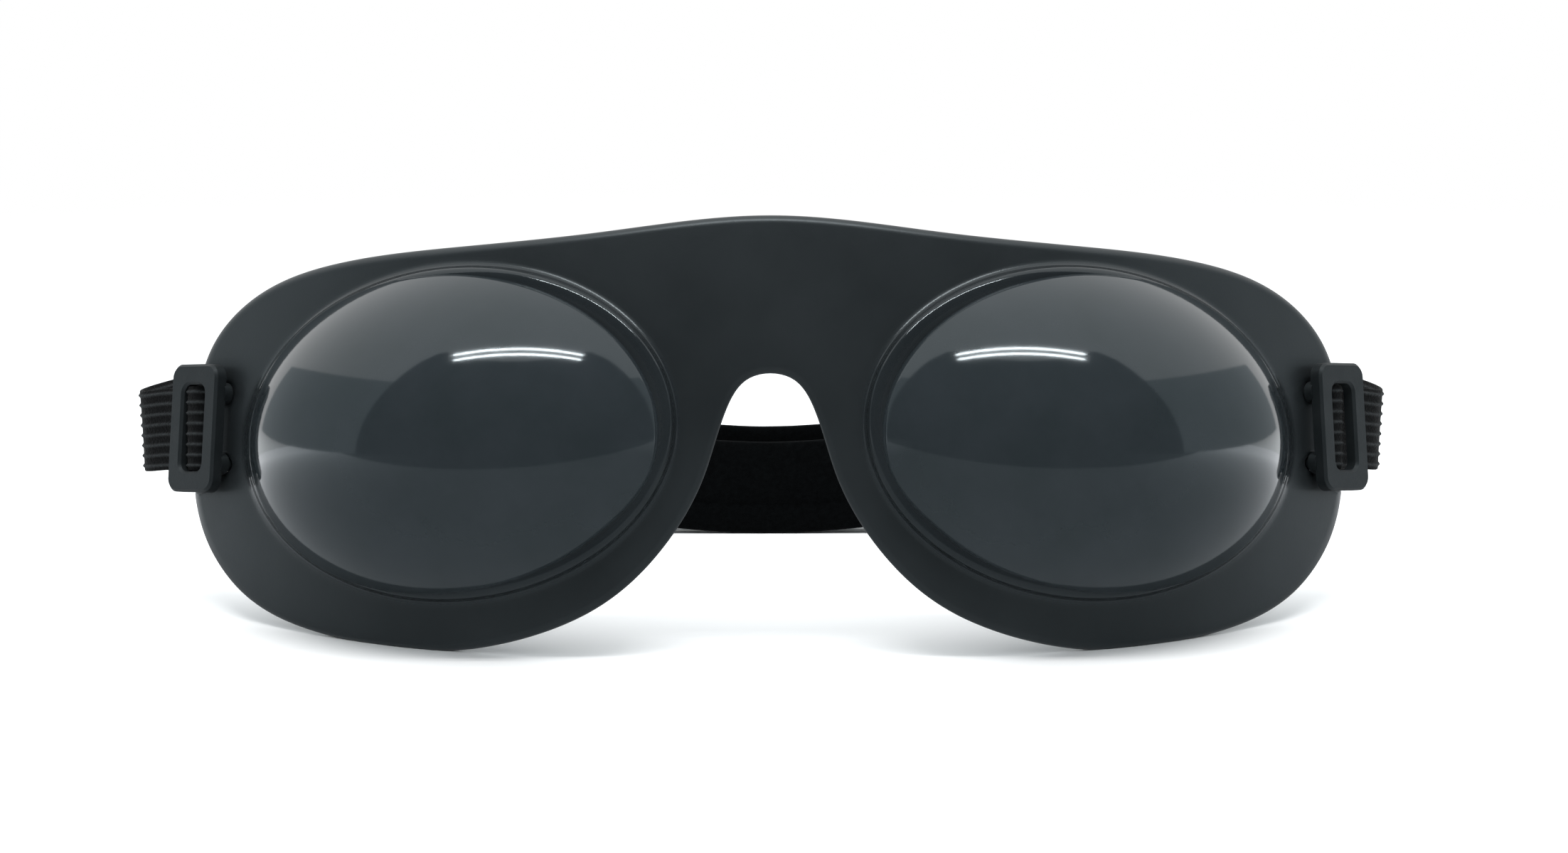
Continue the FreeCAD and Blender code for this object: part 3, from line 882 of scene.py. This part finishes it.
def band_profile(wide):
    """Cross-section of a rear band: two soft lobes with a crease a third of the way up."""
    t = np.linspace(0, 2 * math.pi, 72, endpoint=False)
    x = np.sign(np.cos(t)) * np.abs(np.cos(t)) ** 0.45
    z = np.sign(np.sin(t)) * np.abs(np.sin(t)) ** 0.8
    crease = 1.0 - 0.42 * np.exp(-((z + 0.36) / 0.09) ** 2)
    x = x * crease * (1.0 + 0.10 * np.cos((z - 0.3) * 2.2))
    return np.column_stack([x * BAND_THICK / 2 * 0.94, z * wide / 2])


def band_loops(sign, wide, lift):
    """One rear band, drawn from the left seam to its end beyond the middle of the back."""
    line = loop_points(BAND_STATIONS)
    start = np.argmax(line[:, 0] > -SEAM)
    end = np.argmax(line[:, 0] > OVERLAP)
    line = line[start:end:BAND_SKIP].copy()
    share = smooth_step((SEAM + line[:, 0]) / (SEAM - BLEND_END))
    ahead = np.gradient(line, axis=0)
    ahead /= np.linalg.norm(ahead, axis=1)[:, None]
    ups = np.tile([0.0, 0.0, 1.0], (len(line), 1))
    inward = np.cross(ahead, ups)
    line = line - inward * (sign * BAND_OFFSET * share)[:, None]
    line[:, 2] += lift
    loops = []
    for i, loop in enumerate(ribbon(line, ups, band_profile(wide))):
        to_end = min(i, len(line) - 1 - i, END_LOOPS) / END_LOOPS
        scale = END_SCALE + (1 - END_SCALE) * math.sqrt(1 - (1 - to_end) ** 2)
        loop = line[i] + (loop - line[i]) * scale
        lumps = np.array([noise.noise(Vector(p) * LUMP_SCALE) for p in loop])
        loop[:, 1] += LUMP_HIGH * lumps
        loop[:, 2] = np.maximum(loop[:, 2], 0.0)
        loops.append(loop)
    return loops


# Camera and light
# The photo's sizes, its centre and the focal length are in pixels.

PHOTO_WIDTH = 2205.0
PHOTO_HEIGHT = 1200.0
FOCAL_PIXELS = 5360.0
SENSOR = 36.0
CAMERA_DISTANCE = 560.0
CAMERA_LIFT = math.radians(9.8)
CAMERA_SIDE = math.radians(-0.4)
AIM = (0.0, -46.0, 35.0)
CENTRE_PIXEL = (1083.5, 601.5)
ROOM_COLOUR = (0.93, 0.98, 1.0, 1.0)
WHITE = (1.0, 1.0, 1.0, 1.0)

FLOOR_REACH = 1200.0
FADE_START = 220.0
FADE_END = 600.0

OVERHEAD = {"place": (0, -60, 700), "aim": (0, -30, 20), "size": (700, 420), "power": 3.0}
STRIP_FRONT = {"place": (0, -256, 588), "aim": (0, -50, 40), "size": (520, 8), "power": 0.9}
STRIP_BACK = {"place": (0, -217, 602), "aim": (0, -50, 40), "size": (520, 8), "power": 0.9}

DARK_ROOM = {"away": 460.0, "reach": math.radians(64.0), "top": 880.0, "corner": 0.14, "drop": 0.3}
SIDE_WALL = {"away": 480.0, "reach": math.radians(130.0), "top": 480.0, "rise": -333.0}
SCREEN_STATIONS = 49
TABLE_REACH = 2500
TABLE_HIGH = 0.5
TABLE_EDGES = (90, -155, -3000)
NEAR_STRENGTH = 2.0
ROOM_DARK = (0.055, 0.065, 0.075)
WALL_GREY = (0.40, 0.44, 0.46)
TABLE_GREY = (0.13, 0.14, 0.147)
TABLE_PALE = (0.95, 0.97, 1.0)
FADE_BEHIND = 120.0
FADE_RATIO = 4.0
FADE_STOPS = (0.1, 0.75)


def make_camera():
    """The photo's view, by the pixel it centres on."""
    data = bpy.data.cameras.new("camera")
    data.sensor_width = SENSOR
    data.lens = FOCAL_PIXELS / PHOTO_WIDTH * SENSOR
    data.shift_x = (PHOTO_WIDTH / 2 - CENTRE_PIXEL[0]) / PHOTO_WIDTH
    data.shift_y = (CENTRE_PIXEL[1] - PHOTO_HEIGHT / 2) / PHOTO_WIDTH
    camera = bpy.data.objects.new("camera", data)
    bpy.context.scene.collection.objects.link(camera)
    level = math.cos(CAMERA_LIFT)
    back = Vector((math.sin(CAMERA_SIDE) * level, -math.cos(CAMERA_SIDE) * level, math.sin(CAMERA_LIFT)))
    camera.location = (Vector(AIM) + back * CAMERA_DISTANCE) * MM
    camera.rotation_mode = "QUATERNION"
    camera.rotation_quaternion = (-back).to_track_quat("-Z", "Y")
    data.clip_start = 0.01
    data.clip_end = 20.0
    bpy.context.scene.camera = camera


def area_light(name, place, aim, size, power, seen_glossy=True):
    """A rectangular lamp, its size and places in millimetres."""
    data = bpy.data.lights.new(name, "AREA")
    data.shape = "RECTANGLE"
    data.size, data.size_y = size[0] * MM, size[1] * MM
    data.energy = power
    lamp = bpy.data.objects.new(name, data)
    bpy.context.scene.collection.objects.link(lamp)
    lamp.location = Vector(place) * MM
    lamp.rotation_mode = "QUATERNION"
    lamp.rotation_quaternion = (Vector(aim) - Vector(place)).to_track_quat("-Z", "Y")
    lamp.visible_camera = False
    lamp.visible_glossy = seen_glossy


def make_world():
    """A plain white surround, which the camera and clear reflections see as white."""
    world = bpy.data.worlds.new("studio")
    bpy.context.scene.world = world
    world.use_nodes = True
    tree = world.node_tree
    tree.nodes.clear()
    out = tree.nodes.new("ShaderNodeOutputWorld")
    plain = tree.nodes.new("ShaderNodeBackground")
    plain.inputs["Color"].default_value = WHITE
    plain.inputs["Strength"].default_value = 1.0
    room = tree.nodes.new("ShaderNodeBackground")
    room.inputs["Color"].default_value = ROOM_COLOUR
    room.inputs["Strength"].default_value = 1.0
    path = tree.nodes.new("ShaderNodeLightPath")
    seen = path.outputs["Is Camera Ray"]
    for other in ("Is Glossy Ray", "Is Transmission Ray"):
        either = tree.nodes.new("ShaderNodeMath")
        either.operation = "MAXIMUM"
        tree.links.new(seen, either.inputs[0])
        tree.links.new(path.outputs[other], either.inputs[1])
        seen = either.outputs["Value"]
    pick = tree.nodes.new("ShaderNodeMixShader")
    tree.links.new(seen, pick.inputs["Fac"])
    tree.links.new(room.outputs["Background"], pick.inputs[1])
    tree.links.new(plain.outputs["Background"], pick.inputs[2])
    tree.links.new(pick.outputs["Shader"], out.inputs["Surface"])


def make_floor():
    """A pale floor that fades into the white background away from the object."""
    n = Nodes("floor")
    n.set(Base_Color=(0.95, 0.95, 0.95, 1.0), Roughness=0.9, Specular_IOR_Level=0.1)
    away = n.add("ShaderNodeVectorMath", operation="LENGTH")
    n.link(n.place, away.inputs[0])
    fade = n.add("ShaderNodeMapRange", interpolation_type="SMOOTHSTEP")
    fade.inputs["From Min"].default_value = FADE_START * MM
    fade.inputs["From Max"].default_value = FADE_END * MM
    n.link(away.outputs["Value"], fade.inputs["Value"])
    clear = n.add("ShaderNodeBsdfTransparent")
    pick = n.add("ShaderNodeMixShader")
    n.link(fade.outputs["Result"], pick.inputs["Fac"])
    n.link(n.shader.outputs["BSDF"], pick.inputs[1])
    n.link(clear.outputs["BSDF"], pick.inputs[2])
    out = n.tree.nodes["Material Output"]
    n.link(pick.outputs["Shader"], out.inputs["Surface"])
    reach = FLOOR_REACH * MM
    corners = [(-reach, -reach, 0), (reach, -reach, 0), (reach, reach, 0), (-reach, reach, 0)]
    floor = new_piece("floor", corners, [(0, 1, 2, 3)], n.material, smooth=False)


def make_card(name, corners, faces, colour, strength=1.0):
    """A card that only reflections see."""
    n = Nodes(name)
    n.set(Base_Color=(0, 0, 0, 1.0), Emission_Color=(*colour, 1.0), Specular_IOR_Level=0.0)
    n.set(Emission_Strength=strength)
    card = new_piece(name, np.array(corners) * MM, faces, n.material, smooth=False)
    card.visible_camera = False
    card.visible_shadow = False
    card.visible_diffuse = False
    return n


def fade_to_sides(n, side_colour):
    """Turns a table card to another colour toward its left and right."""
    parts = n.add("ShaderNodeSeparateXYZ")
    n.link(n.place, parts.inputs["Vector"])
    across = n.add("ShaderNodeMath", operation="ABSOLUTE")
    n.link(parts.outputs["X"], across.inputs[0])
    ahead = n.add("ShaderNodeMath", operation="SUBTRACT")
    ahead.inputs[0].default_value = FADE_BEHIND * MM
    n.link(parts.outputs["Y"], ahead.inputs[1])
    ratio = n.add("ShaderNodeMath", operation="DIVIDE")
    n.link(across.outputs["Value"], ratio.inputs[0])
    n.link(ahead.outputs["Value"], ratio.inputs[1])
    dark = n.shader.inputs["Emission Color"].default_value[:3]
    share = n.span_from(ratio.outputs["Value"], 0.0, FADE_RATIO)
    shade = n.ramp(share, [(FADE_STOPS[0], dark), (FADE_STOPS[1], side_colour)])
    n.link(shade, n.shader.inputs["Emission Color"])


def screen(away, reach, top, corner=0.0, drop=0.0, rise=0.0):
    """A curved screen round the front of the object, with round upper corners or with ends that rise."""
    turns = np.linspace(-1.0, 1.0, SCREEN_STATIONS)
    beyond = np.clip((np.abs(turns) - (1.0 - corner)) / max(corner, 0.01), 0.0, 1.0)
    height = top * (1.0 - drop * (1.0 - np.sqrt(1.0 - beyond ** 2))) + rise * turns ** 2
    x, y = away * np.sin(turns * reach), -away * np.cos(turns * reach)
    low = np.column_stack([x, y, np.zeros_like(x)])
    high = np.column_stack([x, y, height])
    count = len(turns)
    return np.vstack([low, high]), [(i, i + 1, count + i + 1, count + i) for i in range(count - 1)]


def table_card(name, near, far, colour, side_colour, strength=1.0):
    """A card just over the table between two depths."""
    x, z = TABLE_REACH, TABLE_HIGH
    corners = [(-x, far, z), (x, far, z), (x, near, z), (-x, near, z)]
    fade_to_sides(make_card(name, corners, [(0, 1, 2, 3)], colour, strength), side_colour)


def make_lights():
    """A broad lamp over the part, two thin ones that the domes show, and the room that they reflect."""
    area_light("overhead", **OVERHEAD, seen_glossy=False)
    area_light("strip_front", **STRIP_FRONT)
    area_light("strip_back", **STRIP_BACK)
    make_card("dark_room", *screen(**DARK_ROOM), ROOM_DARK)
    make_card("side_wall", *screen(**SIDE_WALL), WALL_GREY)
    table_card("near_table", *TABLE_EDGES[:2], TABLE_GREY, TABLE_PALE, NEAR_STRENGTH)
    table_card("far_table", *TABLE_EDGES[1:], ROOM_DARK, WALL_GREY)


# Dressing

def keep_cad(material, *names):
    """Gives a material to CAD pieces that stay in view."""
    for name in names:
        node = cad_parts[name]
        node.data.materials.clear()
        node.data.materials.append(material)


def dress_frame():
    piece = frame_mesh(soft_shell_material())
    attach(piece, "mask")
    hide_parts("mask_frame")


def dress_cup(side, face, gloss, foam, fabric):
    """The dome, the foam ring and the bead pad of one side."""
    piece = stacked(side + "_gloss_dome", [stand(face(loop)) for loop in dome_loops()], gloss)
    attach(piece, "mask")
    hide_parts(side + "_dome")

    piece = stacked(side + "_foam_ring", [stand(face(loop)) for loop in foam_loops()], foam)
    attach(piece, side + "_pad")
    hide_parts(side + "_foam_insert")

    piece = stacked(side + "_bead_pad", [stand(face(loop)) for loop in bead_loops()], fabric)
    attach(piece, side + "_beads")
    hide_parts(side + "_bead_pack")


def dress_elastic(side, line, ups, ribbed):
    """The elastic of one side, which bends at its fold between the buckle's loop and the strap."""
    piece = elastic_piece(side, line, ups, ribbed)
    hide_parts(side + "_elastic_loop", side + "_elastic")
    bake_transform(piece)


def dress_band(side, face, sign, wide, lift, soft):
    """The rear band of one side."""
    piece = stacked(side + "_soft_band", [face(loop) * MM for loop in band_loops(sign, wide, lift)], soft)
    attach(piece, side + "_strap")
    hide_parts(side + "_rear_band")


def main():
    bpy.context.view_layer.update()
    bpy.context.scene.view_settings.view_transform = "Standard"
    make_camera()
    make_world()
    make_floor()

    sides = {"left": np.asarray, "right": mirrored}
    dress_frame()
    gloss, foam, fabric = dome_material(), foam_material(), pad_material()
    ribbed = elastic_material()
    line, ups = elastic_line()
    for side, face in sides.items():
        dress_cup(side, face, gloss, foam, fabric)
        dress_elastic(side, line, ups, ribbed)
    soft = band_material()
    lift = (OUTER_BAND_WIDE - INNER_BAND_WIDE) / 2
    dress_band("left", sides["left"], 1, OUTER_BAND_WIDE, lift, soft)
    dress_band("right", sides["right"], -1, INNER_BAND_WIDE, 0.0, soft)

    keep_cad(buckle_material(), "left_buckle", "right_buckle", "left_back_plate", "right_back_plate")
    keep_cad(hook_material(), "hook_tape")
    keep_cad(pile_material(), "pile_tape")
    make_lights()


main()
